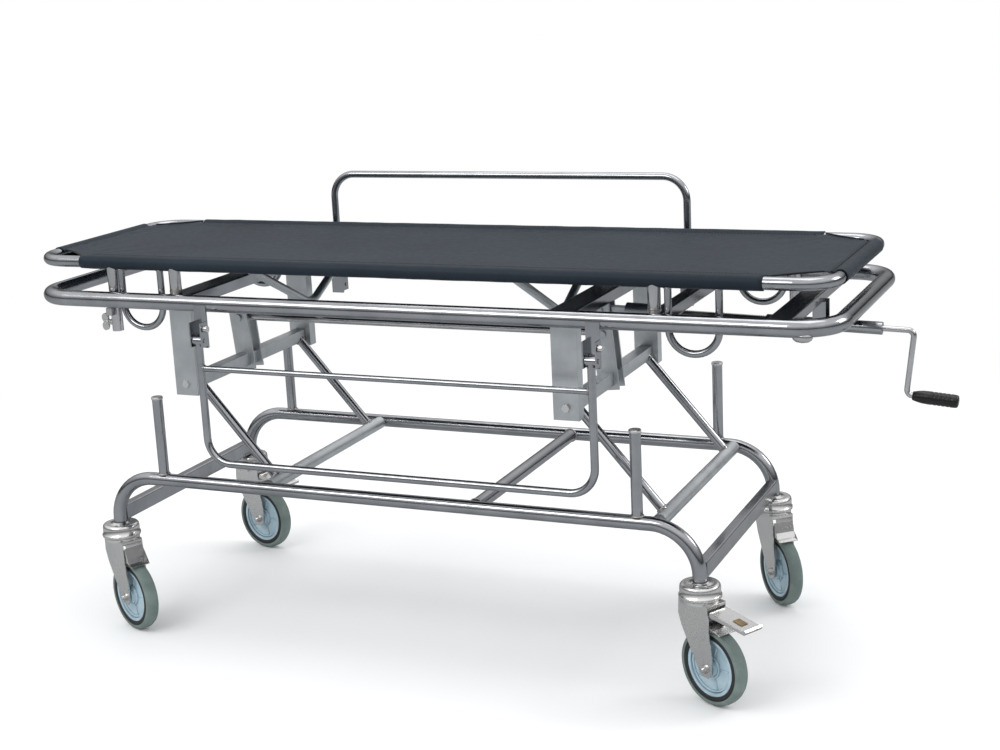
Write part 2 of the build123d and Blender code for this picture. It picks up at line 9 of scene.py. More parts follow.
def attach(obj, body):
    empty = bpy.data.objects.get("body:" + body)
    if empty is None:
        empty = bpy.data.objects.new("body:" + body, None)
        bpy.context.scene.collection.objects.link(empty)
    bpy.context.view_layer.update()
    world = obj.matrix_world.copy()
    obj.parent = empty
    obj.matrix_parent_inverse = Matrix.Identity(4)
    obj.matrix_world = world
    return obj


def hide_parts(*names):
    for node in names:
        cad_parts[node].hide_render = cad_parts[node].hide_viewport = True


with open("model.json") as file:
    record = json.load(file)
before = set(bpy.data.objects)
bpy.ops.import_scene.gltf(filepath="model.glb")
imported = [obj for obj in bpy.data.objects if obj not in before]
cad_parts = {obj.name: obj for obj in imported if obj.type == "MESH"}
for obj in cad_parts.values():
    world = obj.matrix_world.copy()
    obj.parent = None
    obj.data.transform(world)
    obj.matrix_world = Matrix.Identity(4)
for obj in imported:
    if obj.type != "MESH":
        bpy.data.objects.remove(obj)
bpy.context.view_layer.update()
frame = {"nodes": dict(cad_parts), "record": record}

# ------------------------------------------------------------------ dimensions (mm)
ORIGIN_X, ORIGIN_Y = 0.13787, -0.0236    # scene origin from the base centre, metres
SIDES = (-1, 1)

# litter frame, measured to the tube axes
LITTER_MID_X = 39.0
HALF_LENGTH = 976.0
HALF_WIDTH = 273.4
LITTER_Z = 912.0

# fabric deck: the sleeves stop short of the four corners
CORNER = 75.0
SLEEVE_HALF_LENGTH = HALF_LENGTH - CORNER - 60.0
SLEEVE_HALF_WIDTH = HALF_WIDTH - CORNER - 14.0
SLEEVE_RADIUS = 16.4
SHEET_INSET = 27.0                       # tube axis to the edge of the flat sheet
SHEET_RISE = 12.5                        # sheet above the tube axis, just below the sleeve crown
SHEET_Z = LITTER_Z + SHEET_RISE
SHEET_STEPS_X, SHEET_STEPS_Y = 156, 44

# links between base and litter
LINK_FEET_X = {"link_left": -320.0, "link_right": 649.0}
LINK_FOOT_Z = 388.0
LINK_TOP_Z = 626.0
LINK_SHIFT = 206.0                       # the link tops lie this far to the left of the feet
LINK_Y = 238.0
LEVER_LENGTH = 160.0
LEVER_LEAN = math.radians(5.5)

# casters
BASE_HALF_WIDTH = 308.0
CASTER_X = 742.6
WHEEL_TRAIL, WHEEL_Z = 38.0, 87.5        # wheel centre from the swivel axis and from the floor
# key: (x, y, swivel angle in degrees, has a pedal)
CASTERS = {
    "front_left": (-CASTER_X, -BASE_HALF_WIDTH, -25, False),
    "front_right": (CASTER_X, -BASE_HALF_WIDTH, -28, True),
    "back_left": (-CASTER_X, BASE_HALF_WIDTH, -15, True),
    "back_right": (CASTER_X, BASE_HALF_WIDTH, -48, False),
}


def place(x, y, z):
    """Base-centred millimetres to scene metres."""
    return Vector((x / 1000 - ORIGIN_X, y / 1000 - ORIGIN_Y, z / 1000))


def on_litter(x, y, z):
    """place(), with x counted from the middle of the litter."""
    return place(LITTER_MID_X + x, y, z)


def steps(start, end, count):
    """The count + 1 evenly spaced values from start to end."""
    return [start + (end - start) * i / count for i in range(count + 1)]


# ------------------------------------------------------------------ shader graphs
class Graph:
    """A node tree; the texture helpers return the output socket to link on."""

    def __init__(self, tree):
        self.tree = tree
        tree.nodes.clear()

    def fill(self, node, inputs):
        """Sets each input to a value, or links it to an output socket."""
        for key, value in inputs.items():
            if isinstance(value, bpy.types.NodeSocket):
                self.tree.links.new(value, node.inputs[key])
            else:
                node.inputs[key].default_value = value

    def add(self, kind, inputs=None, **settings):
        node = self.tree.nodes.new("ShaderNode" + kind)
        for key, value in settings.items():
            setattr(node, key, value)
        self.fill(node, inputs or {})
        return node

    def math(self, operation, *values):
        return self.add("Math", dict(enumerate(values)), operation=operation).outputs["Value"]

    def mix_color(self, factor, first, second, **settings):
        # sockets 6, 7 and output 2 are the colour ones of the Mix node
        inputs = {"Factor": factor, 6: first, 7: second}
        return self.add("Mix", inputs, data_type="RGBA", **settings).outputs[2]

    def mix_shader(self, factor, first, second):
        return self.add("MixShader", {"Fac": factor, 1: first, 2: second}).outputs[0]

    def remap(self, source, low, high, start=0.3, end=0.7, **settings):
        """Maps start..end of the source to low..high."""
        return self.add("MapRange", {
            "From Min": start, "From Max": end, "To Min": low, "To Max": high, "Value": source,
        }, **settings).outputs["Result"]

    def ramp(self, source, stops):
        node = self.add("ValToRGB", {"Fac": source})
        elements = node.color_ramp.elements
        while len(elements) < len(stops):
            elements.new(0.5)
        for i, (position, color) in enumerate(stops):
            elements[i].position = position
            elements[i].color = (*color, 1)
        return node.outputs["Color"]


class Shader(Graph):
    """A material with a Principled surface."""

    def __init__(self, name):
        self.material = bpy.data.materials.new(name)
        self.material.use_nodes = True
        super().__init__(self.material.node_tree)
        self.output = self.add("OutputMaterial")
        self.bsdf = self.add("BsdfPrincipled")
        self.fill(self.output, {"Surface": self.bsdf.outputs["BSDF"]})
        self.coords = self.add("TexCoord").outputs["Object"]

    def surface(self, inputs):
        self.fill(self.bsdf, inputs)
        return self.material

    def noise(self, scale, detail=4.0, roughness=0.5, stretch=None):
        vector = self.coords
        if stretch:
            vector = self.add("Mapping", {"Scale": stretch, "Vector": vector}).outputs["Vector"]
        return self.add("TexNoise", {
            "Scale": scale, "Detail": detail, "Roughness": roughness, "Vector": vector,
        }).outputs["Fac"]

    def bump(self, height, strength, distance, bevel=0.0, normal=None):
        if bevel:
            normal = self.add("Bevel", {"Radius": bevel}, samples=4).outputs["Normal"]
        inputs = {"Strength": strength, "Distance": distance, "Height": height}
        if normal is not None:
            inputs["Normal"] = normal
        return self.add("Bump", inputs).outputs["Normal"]


def grey(level):
    return (level,) * 3


def metal(name, dark, light, roughness, streak, bump, bevel=0.0, mottle=14.0, edge=1.0):
    """Mottled metal with streaked grain and a painted dark reflection at the outline; edge is the
    brightness this painted reflection leaves at the outline.
    """
    shader = Shader(name)
    mottling = shader.noise(mottle, detail=5.0, roughness=0.6)
    color = shader.ramp(mottling, [(0.3, dark), (0.7, light)])
    grain = shader.noise(22.0, detail=6.0, roughness=0.65, stretch=streak)
    base_roughness = shader.remap(grain, *roughness)
    smudges = shader.remap(shader.noise(5.0, detail=3.0), 0.0, 0.07, start=0.45, end=0.75)
    # painted dark reflection: the base colour darkens toward the outline, standing in for a
    # polished tube mirroring the dark surroundings
    facing = shader.add("LayerWeight", {"Blend": 0.5}).outputs["Facing"]
    painted_edge_reflection = shader.ramp(facing, [
        (0.0, grey(1)), (0.50, grey(0.92)), (0.78, grey(0.5 + 0.5 * edge)), (0.96, grey(edge))])
    return shader.surface({
        "Base Color": shader.mix_color(1.0, color, painted_edge_reflection, blend_type="MULTIPLY"),
        "Metallic": 1.0,
        "Roughness": shader.math("ADD", base_roughness, smudges),
        "Normal": shader.bump(grain, bump, 0.0006, bevel),
    })


def plastic(name, dark, light, roughness, bump, scale, bevel=0.0, coat=0.0):
    """Softly clouded plastic or rubber with a fine grain of the given scale."""
    shader = Shader(name)
    clouds = shader.noise(20.0, roughness=0.6)
    color = shader.ramp(clouds, [(0.35, dark), (0.65, light)])
    grain = shader.noise(scale, detail=3.0)
    return shader.surface({
        "Base Color": color,
        "Roughness": shader.remap(grain, *roughness),
        "Normal": shader.bump(grain, bump, 0.0005, bevel),
        "Coat Weight": coat,
    })


def woven(name, dark, light, pitch):
    """Coated plain weave: two crossed thread waves, sheen and a little scuffing."""
    shader = Shader(name)
    threads = [
        shader.add("TexWave", {
            "Scale": pitch / 6.283, "Distortion": 0.4, "Detail": 1.0, "Vector": shader.coords,
        }, wave_type="BANDS", bands_direction=direction).outputs["Fac"]
        for direction in "XY"]
    weave = shader.math("MAXIMUM", *threads)
    clouds = shader.noise(3.2, detail=5.0, roughness=0.55)
    scuffs = shader.noise(60.0, detail=8.0, roughness=0.7)
    wear = shader.math("MULTIPLY_ADD", scuffs, 0.28, clouds)
    weave_normal = shader.bump(weave, 0.25, 0.0004)
    return shader.surface({
        "Base Color": shader.ramp(wear, [(0.38, dark), (0.85, light)]),
        "Roughness": shader.remap(scuffs, 0.46, 0.62),
        "Normal": shader.bump(clouds, 0.25, 0.004, normal=weave_normal),
        "Sheen Weight": 0.02,
        "Sheen Roughness": 0.4,
        "Specular IOR Level": 0.20,
    })


# edge sets how dark the painted reflection makes each metal's base colour at its outline
MATERIALS = {
    "polished_tube": metal(
        "polished_tube", dark=(0.35, 0.36, 0.375), light=(0.46, 0.47, 0.49),
        roughness=(0.11, 0.20), streak=(4, 30, 30), bump=0.03, edge=0.16),
    "bright_bar": metal(
        "bright_bar", dark=(0.52, 0.52, 0.52), light=(0.68, 0.68, 0.69),
        roughness=(0.10, 0.18), streak=(30, 30, 4), bump=0.04, bevel=0.0008, edge=0.2),
    "satin_steel": metal(
        "satin_steel", dark=(0.55, 0.575, 0.59), light=(0.70, 0.725, 0.74),
        roughness=(0.32, 0.45), streak=(60, 60, 3), bump=0.12, bevel=0.0012),
    "zinc_hardware": metal(
        "zinc_hardware", dark=(0.70, 0.70, 0.69), light=(0.80, 0.79, 0.77),
        roughness=(0.17, 0.28), streak=(14, 14, 14), bump=0.03, bevel=0.0012,
        mottle=12.0, edge=0.4),
    "screw": metal(
        "screw_steel", dark=(0.34, 0.33, 0.31), light=(0.52, 0.51, 0.49),
        roughness=(0.22, 0.36), streak=(80, 20, 20), bump=0.12, mottle=90.0),
    "weld": metal(
        "weld_bead", dark=(0.40, 0.37, 0.33), light=(0.62, 0.60, 0.57),
        roughness=(0.28, 0.45), streak=(90, 90, 90), bump=0.35, mottle=120.0),
    "wheel_centre": plastic(
        "wheel_centre", dark=(0.29, 0.40, 0.46), light=(0.40, 0.53, 0.60),
        roughness=(0.32, 0.48), bump=0.10, scale=300.0, bevel=0.0008, coat=0.15),
    "tyre": plastic(
        "tyre_rubber", dark=(0.115, 0.155, 0.145), light=(0.165, 0.215, 0.20),
        roughness=(0.60, 0.82), bump=0.35, scale=420.0, bevel=0.0008),
    "grip": plastic(
        "grip_black", dark=(0.002, 0.002, 0.0025), light=(0.005, 0.005, 0.006),
        roughness=(0.26, 0.38), bump=0.30, scale=520.0),
    "ring_black": plastic(
        "ring_black", dark=(0.012, 0.013, 0.014), light=(0.022, 0.023, 0.025),
        roughness=(0.40, 0.60), bump=0.25, scale=420.0),
    "fabric": woven(
        "deck_fabric", dark=(0.007, 0.013, 0.021), light=(0.014, 0.023, 0.034), pitch=1500.0),
    # dark thread colour of the hems and stitches, also used for the crease strand that paints the
    # shade of the seam groove
    "binding_and_crease_shade": woven(
        "seam_binding_and_crease_shade", dark=(0.006, 0.007, 0.010), light=(0.014, 0.016, 0.022), pitch=3000.0),
    "inset": plastic(
        "pedal_inset", dark=(0.16, 0.10, 0.045), light=(0.34, 0.24, 0.12),
        roughness=(0.38, 0.55), bump=0.25, scale=200.0),
}


def dress_cad_pieces():
    slots = {part["node"]: part.get("material_slot", part["node"])
             for part in frame["record"]["subparts"]}
    for name, piece in frame["nodes"].items():
        key = "screw" if name == "lead_screw" else slots.get(name, "zinc_hardware")
        piece.data.materials.clear()
        piece.data.materials.append(MATERIALS[key])


# ------------------------------------------------------------------ mesh tools
def new_object(name, mesh, material, smooth=True):
    data = bpy.data.meshes.new(name)
    mesh.to_mesh(data)
    mesh.free()
    if smooth:
        data.polygons.foreach_set("use_smooth", [True] * len(data.polygons))
    piece = bpy.data.objects.new(name, data)
    bpy.context.scene.collection.objects.link(piece)
    data.materials.append(material)
    return piece


def finish_piece(name, mesh, material, body, smooth=True):
    """Turns the mesh into an object that rides a CAD body."""
    bmesh.ops.recalc_face_normals(mesh, faces=mesh.faces)
    piece = new_object(name, mesh, MATERIALS[material], smooth)
    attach(piece, body)
    return piece


def helper_axis(direction):
    return Vector((0, 0, 1)) if abs(direction.z) < 0.9 else Vector((1, 0, 0))


def basis(axis):
    """Unit vectors along the axis and two across it."""
    along = Vector(axis).normalized()
    across = helper_axis(along).cross(along).normalized()
    return along, across, along.cross(across)


def turn(count):
    return [2 * math.pi * i / count for i in range(count)]


def add_ring(mesh, centre, first, second, radius, segments):
    return [mesh.verts.new(centre + (first * math.cos(t) + second * math.sin(t)) * (radius / 1000))
            for t in turn(segments)]


def loft(mesh, rings, closed=False, cap=True):
    """Skins closed rings in order; closed joins the last ring to the first."""
    following = rings[1:] + rings[:1] if closed else rings[1:]
    for ring, after in zip(rings, following):
        for i in range(len(ring)):
            j = (i + 1) % len(ring)
            mesh.faces.new((ring[i], ring[j], after[j], after[i]))
    if cap and not closed:
        mesh.faces.new(list(reversed(rings[0])))
        mesh.faces.new(rings[-1])


def join_rows(mesh, rows):
    """Skins open rows of vertices."""
    for row, after in zip(rows, rows[1:]):
        for k in range(len(row) - 1):
            mesh.faces.new((row[k], after[k], after[k + 1], row[k + 1]))


def add_lathe(mesh, origin, axis, profile, segments=40, closed=False, cap=True):
    """Turns (distance along axis, radius) points, in mm, about the axis."""
    along, across, third = basis(axis)
    rings = [add_ring(mesh, origin + along * (distance / 1000), across, third, radius, segments)
             for distance, radius in profile]
    loft(mesh, rings, closed, cap)


def add_bead(mesh, origin, axis, radius, thickness, rings=72):
    """Weld bead: a slightly rippled ring; thickness is its section radius."""
    along, across, third = basis(axis)
    sections = []
    for t in turn(rings):
        outward = across * math.cos(t) + third * math.sin(t)
        ripple = thickness * (1.0 + 0.16 * math.sin(t * 26))
        centre = origin + outward * (radius / 1000)
        sections.append(add_ring(mesh, centre, outward, along, ripple, 8))
    loft(mesh, sections, closed=True)


def add_strand(mesh, points, radius, segments=8):
    """Round strand along points (metres), radius in mm."""
    across = None
    rings = []
    for i, point in enumerate(points):
        ahead = (points[min(i + 1, len(points) - 1)] - points[max(i - 1, 0)]).normalized()
        guide = helper_axis(ahead) if across is None else across
        across = (guide - ahead * guide.dot(ahead)).normalized()
        rings.append(add_ring(mesh, point, across, ahead.cross(across), radius, segments))
    loft(mesh, rings)


# ------------------------------------------------------------------ fabric deck
# (inward distance from the tube axis, height above it), from the sheet edge round to the hem
CREASE = [(SHEET_INSET, SHEET_RISE), (23.5, 12.0), (20.5, 9.2), (17.6, 8.6), (15.2, 10.4)]
HEM = [(16.0, -13.0), (26.0, -12.0), (36.0, -11.0)]
SLEEVE = CREASE + [
    (SLEEVE_RADIUS * math.cos(math.radians(angle)), SLEEVE_RADIUS * math.sin(math.radians(angle)))
    for angle in range(40, 311, 15)] + HEM

SHEET_X = steps(SHEET_INSET - HALF_LENGTH, HALF_LENGTH - SHEET_INSET, SHEET_STEPS_X)


def deck_half_width(distance):
    """Half width of the deck at a distance from mid length; it narrows past the sleeves."""
    if distance <= SLEEVE_HALF_LENGTH:
        return HALF_WIDTH
    past = (distance - SLEEVE_HALF_LENGTH) / (HALF_LENGTH - SLEEVE_HALF_LENGTH)
    taper = (SLEEVE_HALF_WIDTH - HALF_WIDTH) * past
    return HALF_WIDTH + taper - 9.0 * math.sin(math.pi * min(past, 1.0))


def wobble(x, y, layer, size):
    return noise.noise(Vector((x / size, y / size, layer)))


def sheet_grid(vertex):
    grid = []
    for i, x in enumerate(SHEET_X):
        inset = SHEET_INSET if abs(x) <= SLEEVE_HALF_LENGTH + 1 else 3.0
        half = deck_half_width(abs(x)) - inset
        grid.append([
            vertex(x, half * across, SHEET_Z,
                   1.0 if i in (0, SHEET_STEPS_X) or abs(across) == 1 else 0.0)
            for across in steps(-1, 1, SHEET_STEPS_Y)])
    return grid


def side_sleeve(vertex, grid, side, column):
    """Rows of a sleeve along the front or back tube, a little loose round the tube."""
    covered = [i for i, x in enumerate(SHEET_X) if abs(x) <= SLEEVE_HALF_LENGTH]
    rows = []
    for i in covered:
        x = SHEET_X[i]
        to_end = min(abs(x - SHEET_X[covered[0]]), abs(x - SHEET_X[covered[-1]]))
        row = [grid[i][column]]
        for k, (inward, height) in enumerate(SLEEVE[1:], 1):
            loose = 0.7 * wobble(x, side * 100 + k * 3, 1.7, 46.0) * (1.6 if to_end < 60 else 1.0)
            swell = 1.0 + loose / SLEEVE_RADIUS if k < len(SLEEVE) - len(HEM) else 1.0
            row.append(vertex(x, side * (HALF_WIDTH - inward * swell), LITTER_Z + height * swell))
        rows.append(row)
    return rows


def end_sleeve(vertex, edge, side):
    """Rows of a sleeve along the left or right tube, drawn in to the sleeve width."""
    edge_y = [corner.co.y * 1000 + ORIGIN_Y * 1000 for corner in edge]
    narrowing = SLEEVE_HALF_WIDTH / abs(edge_y[-1])
    rows = []
    for start, y in zip(edge, edge_y):
        row = [start]
        for k, (inward, height) in enumerate(SLEEVE[1:], 1):
            drawn = y + (y * narrowing - y) * min(1.0, k / 4)
            row.append(vertex(side * (HALF_LENGTH - inward), drawn, LITTER_Z + height))
        rows.append(row)
    return rows


def make_deck():
    mesh = bmesh.new()
    weights = mesh.verts.layers.deform.verify()

    def vertex(x, y, z, pin=1.0):
        new = mesh.verts.new(on_litter(x, y, z))
        new[weights][0] = pin
        return new

    grid = sheet_grid(vertex)
    join_rows(mesh, grid)
    for side, column in ((-1, 0), (1, -1)):
        join_rows(mesh, side_sleeve(vertex, grid, side, column))
    for side, row in ((-1, 0), (1, -1)):
        join_rows(mesh, end_sleeve(vertex, grid[row], side))

    # the sheet has to face up, as its thickness goes below it
    bmesh.ops.recalc_face_normals(mesh, faces=mesh.faces)
    facing_up = sum(face.normal.z > 0.9 for face in mesh.faces)
    facing_down = sum(face.normal.z < -0.9 for face in mesh.faces)
    if facing_down > facing_up:
        bmesh.ops.reverse_faces(mesh, faces=mesh.faces)
    deck = new_object("deck_fabric", mesh, MATERIALS["fabric"])
    deck.vertex_groups.new(name="pin")
    return deck


def settle_cloth(deck):
    """Vertex positions after the pinned sheet has hung for 20 frames."""
    cloth = deck.modifiers.new("cloth", "CLOTH")
    settings = dict(
        quality=6, mass=0.6, tension_stiffness=60, compression_stiffness=40,
        shear_stiffness=20, bending_stiffness=2.0, shrink_min=-0.004,
        vertex_group_mass="pin", pin_stiffness=1.0)
    for key, value in settings.items():
        setattr(cloth.settings, key, value)
    cloth.settings.effector_weights.gravity = 0.35
    cloth.collision_settings.use_collision = False
    scene = bpy.context.scene
    for step in range(1, 21):
        scene.frame_set(step)
    settled = deck.evaluated_get(bpy.context.evaluated_depsgraph_get())
    positions = [vertex.co.copy() for vertex in settled.data.vertices]
    deck.modifiers.clear()
    scene.frame_set(1)
    return positions


def sheet_sag(x, y):
    """Height change in mm: hollow middle, pull lines from the corners, and waviness."""
    half = deck_half_width(abs(x)) - SHEET_INSET
    across = max(0.0, 1 - (y / half) ** 2)
    along = max(0.0, 1 - (abs(x) / HALF_LENGTH) ** 6)
    corner_x, corner_y = SLEEVE_HALF_LENGTH - abs(x), half - abs(y)
    near = math.exp(-(corner_x * corner_x + corner_y * corner_y) / (190.0 ** 2))
    angle = math.atan2(corner_y, corner_x + 40.0)
    sag = -5.0 * across * along
    sag += 1.3 * near * math.sin(angle * 15) * min(1.0, max(0.0, corner_y / 30.0))
    return sag + 0.9 * wobble(x, y, 0.3, 210.0) * across


def relax_deck(deck):
    """Adds the sag and the limited cloth movement to every vertex near sheet level."""
    rest = [vertex.co.copy() for vertex in deck.data.vertices]
    settled = settle_cloth(deck)
    for vertex, before, after in zip(deck.data.vertices, rest, settled):
        if abs(before.z - SHEET_Z / 1000) >= 0.0006:
            continue
        x = (before.x + ORIGIN_X) * 1000 - LITTER_MID_X
        y = (before.y + ORIGIN_Y) * 1000
        drop = max(-5.0, min(3.0, (after.z - before.z) * 1000)) * 0.8
        vertex.co.z = before.z + (sheet_sag(x, y) + drop) / 1000


def build_deck():
    deck = make_deck()
    relax_deck(deck)
    solid = deck.modifiers.new("thickness", "SOLIDIFY")
    solid.thickness = 0.0016
    solid.offset = -1.0
    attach(deck, "litter")
    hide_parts("deck_cover")


def build_crease_shade_strand():
    """Dark strand laid in the crease beside each sleeve: painted shade of the seam groove."""
    mesh = bmesh.new()
    inset, z = 19.0, LITTER_Z + 9.4
    reach_x, reach_y = SLEEVE_HALF_LENGTH - 3, SLEEVE_HALF_WIDTH - 3
    for side in SIDES:
        add_strand(mesh, [on_litter(x, side * (HALF_WIDTH - inset), z)
                          for x in steps(-reach_x, reach_x, 160)], radius=2.3)
    for side in SIDES:
        add_strand(mesh, [on_litter(side * (HALF_LENGTH - inset), y, z)
                          for y in steps(-reach_y, reach_y, 40)], radius=2.3)
    finish_piece("crease_shade_strand", mesh, "binding_and_crease_shade", "litter")


def build_corner_hems():
    """Hems along the tapering edges at the four corners."""
    mesh = bmesh.new()
    distances = steps(SLEEVE_HALF_LENGTH + 4, HALF_LENGTH - 30.0, 24)
    for side in SIDES:
        for end in SIDES:
            add_strand(mesh, [
                on_litter(end * x, side * (deck_half_width(x) - 4.0), SHEET_Z + 0.4)
                for x in distances], radius=2.0)
    finish_piece("corner_hems", mesh, "binding_and_crease_shade", "litter")


def build_stitching():
    """A row of stitches beside each long sleeve."""
    mesh = bmesh.new()
    stitch_length, rise = 5.0, Vector((0, 0, 0.0006))
    reach = SLEEVE_HALF_LENGTH - 12
    for side in SIDES:
        y = side * (HALF_WIDTH - 30.0)
        for x in steps(-reach, reach, 210)[:-1]:
            start = on_litter(x, y, SHEET_Z + 0.1)
            end = on_litter(x + stitch_length, y, SHEET_Z + 0.1)
            add_strand(mesh, [start, (start + end) / 2 + rise, end], radius=0.45, segments=5)
    finish_piece("stitching", mesh, "binding_and_crease_shade", "litter")


# ------------------------------------------------------------------ lead screw and crank grip
SCREW_END = place(935, 0, 770.5)         # crank end of the screw
LEVER_END = place(LINK_FEET_X["link_right"] - LINK_SHIFT - LEVER_LENGTH * math.sin(LEVER_LEAN), 0,
                  LINK_TOP_Z + LEVER_LENGTH * math.cos(LEVER_LEAN))
SCREW_AXIS = (SCREW_END - LEVER_END).normalized()
SCREW_LENGTH = (SCREW_END - LEVER_END).length * 1000

# thread section: (offset along the screw, radius)
THREAD_SECTION = ((-1.7, 8.2), (-0.8, 10.4), (0.8, 10.4), (1.7, 8.2))
THREAD_START, THREAD_END = 86.0 - SCREW_LENGTH, -123.0
THREAD_LEAD = 5.0
THREAD_SEGMENTS = 22


def on_screw(distance, drop=0.0):
    """Point at a distance beyond the crank end of the screw, drop mm below its axis."""
    below = Vector((SCREW_AXIS.z, 0, -SCREW_AXIS.x))
    return SCREW_END + SCREW_AXIS * (distance / 1000) + below * (drop / 1000)


def build_screw_thread():
    mesh = bmesh.new()
    _, across, third = basis(SCREW_AXIS)
    turns = (THREAD_END - THREAD_START) / THREAD_LEAD
    sections = []
    for i in range(int(turns * THREAD_SEGMENTS) + 1):
        angle = 2 * math.pi * i / THREAD_SEGMENTS
        distance = THREAD_START + THREAD_LEAD * i / THREAD_SEGMENTS
        outward = across * math.cos(angle) + third * math.sin(angle)
        sections.append([mesh.verts.new(on_screw(distance + offset) + outward * (radius / 1000))
                         for offset, radius in THREAD_SECTION])
    loft(mesh, sections)
    finish_piece("screw_thread", mesh, "screw", "crank", smooth=False)


def build_crank_grip():
    """Turned grip with five grooves; its profile is (distance along, radius)."""
    inner_end, outer_end = on_screw(187, 143), on_screw(284, 148)
    profile = [(-84, 6.6), (-83.5, 9.4), (-80, 10.4), (-72, 12.4), (-62, 14.0), (-50, 14.5)]
    for k in range(5):
        groove = -42 + k * 9.0
        profile += [(groove, 14.5), (groove + 1.0, 13.7), (groove + 2.6, 13.7),
                    (groove + 3.6, 14.5)]
    profile += [(4, 14.4), (10, 13.8), (12.6, 12.0), (13.8, 8.0), (14.0, 0.6)]
    mesh = bmesh.new()
    add_lathe(mesh, outer_end, (outer_end - inner_end).normalized(), profile, 48)
    grip = finish_piece("crank_grip_shape", mesh, "grip", "crank_grip")
    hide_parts("crank_grip")


# ------------------------------------------------------------------ casters
# turned profiles: (distance along the axis, radius)
RIM_RING = [(13.0, 64.6), (15.2, 65.4), (16.2, 68.0), (16.2, 72.0), (15.4, 74.6), (13.0, 75.6),
            (8.0, 75.4), (8.0, 64.6)]
OUTER_BEAD = [(6.5, 52.0), (10.2, 52.5), (10.9, 54.5), (10.2, 56.5), (6.5, 57.0)]
HUB_BEAD = [(6.5, 21.5), (12.0, 21.6), (13.2, 23.0), (12.0, 24.8), (6.5, 25.2)]
SPOKE_RIB = [(6.8, 24.5), (7.6, 38.0), (6.8, 52.5)]
HOUSING_COVER = [(237.0, 46.4), (238.0, 47.0), (241.0, 47.0), (242.4, 46.0), (243.0, 44.6),
                 (258.0, 44.6), (262.6, 43.6), (265.6, 41.0), (266.9, 37.0), (266.2, 33.0),
                 (266.2, 20.0), (268.4, 18.4), (269.0, 16.6)]
SWIVEL_SEAL = [(233.8, 38.0), (233.8, 41.5), (236.2, 41.5), (236.2, 38.0)]
NUT_RADIUS = 9.2
AXLE_NUT = [(31.0, NUT_RADIUS), (36.0, NUT_RADIUS * 0.96)]
AXLE_TIP = [(35.0, 5.2), (38.5, 5.2), (39.5, 4.0), (39.8, 0.4)]

# (distance from the swivel axis, height) of the fork web's nose and the ends of the pedal line
WEB_NOSE = [(50.0, 214.0), (53.0, 215.0), (60.0, 190.0)]
WEB_HALF_WIDTH = 24.6
PEDAL_START, PEDAL_END = Vector((52, 218)), Vector((146, 203))


def build_rim_rings(key, hub, axle):
    mesh = bmesh.new()
    for side in SIDES:
        add_lathe(mesh, hub, axle * side, RIM_RING, 84, closed=True)
    finish_piece("rim_ring_" + key, mesh, "ring_black", "wheel_" + key)


def build_disc_beads(key, hub, axle):
    """Raised rings and five spoke ribs on both faces of the wheel disc."""
    mesh = bmesh.new()
    for side in SIDES:
        add_lathe(mesh, hub, axle * side, OUTER_BEAD, 72, closed=True)
        add_lathe(mesh, hub, axle * side, HUB_BEAD, 48, closed=True)
        along, across, third = basis(axle * side)
        for t in turn(5):
            outward = across * math.cos(t) + third * math.sin(t)
            add_strand(mesh, [hub + along * (distance / 1000) + outward * (radius / 1000)
                              for distance, radius in SPOKE_RIB], radius=2.4)
    finish_piece("disc_beads_" + key, mesh, "wheel_centre", "wheel_" + key)


def web_arc(radius, angles):
    return [(WHEEL_TRAIL + radius * math.cos(math.radians(angle)),
             WHEEL_Z + radius * math.sin(math.radians(angle))) for angle in angles]


def build_fork_web(key, local, has_pedal):
    """Curved web that closes the fork over the tyre, with a nose on the plain casters."""
    outer = web_arc(94.6, range(128, 63, -4))
    inner = web_arc(92.6, range(64, 129, 4))
    if not has_pedal:
        k = next(i for i, point in enumerate(outer) if point[0] > 55)
        outer[k:k + 1] = WEB_NOSE
    mesh = bmesh.new()
    loft(mesh, [[mesh.verts.new(local(out, across, z)) for out, z in outer + inner]
                for across in (-WEB_HALF_WIDTH, WEB_HALF_WIDTH)])
    bmesh.ops.triangulate(mesh, faces=[face for face in mesh.faces if len(face.verts) > 4])
    finish_piece("fork_web_" + key, mesh, "zinc_hardware", "caster_" + key,
                 smooth=False)


def build_swivel(key, foot):
    """Dished cover on the swivel housing, and the dark seal below it."""
    mesh = bmesh.new()
    add_lathe(mesh, foot, (0, 0, 1), HOUSING_COVER, 72, cap=False)
    finish_piece("housing_cover_" + key, mesh, "zinc_hardware", "base")
    mesh = bmesh.new()
    add_lathe(mesh, foot, (0, 0, 1), SWIVEL_SEAL, 60, closed=True)
    finish_piece("swivel_seal_" + key, mesh, "ring_black", "caster_" + key)


def build_axle_nuts(key, hub, axle):
    mesh = bmesh.new()
    for side in SIDES:
        add_lathe(mesh, hub, axle * side, AXLE_NUT, 6)
        add_lathe(mesh, hub, axle * side, AXLE_TIP, 20)
    finish_piece("axle_nuts_" + key, mesh, "zinc_hardware", "caster_" + key,
                 smooth=False)


def build_pedal_inset(key, local):
    """Moulded inset on the tread of the brake pedal."""
    slope = (PEDAL_END - PEDAL_START).normalized()
    normal = Vector((-slope.y, slope.x))
    mesh = bmesh.new()
    corners = []
    for distance in (52.0, 78.0):
        for across in (-10.0, 10.0):
            for height in (0.0, 1.6):
                point = PEDAL_START + slope * distance + normal * height
                corners.append(mesh.verts.new(local(point.x, across, point.y)))
    bmesh.ops.convex_hull(mesh, input=corners)
    bmesh.ops.bevel(mesh, geom=list(mesh.edges), offset=0.0006, segments=2, affect="EDGES")
    finish_piece("pedal_inset_" + key, mesh, "inset", "pedal_" + key,
                 smooth=False)


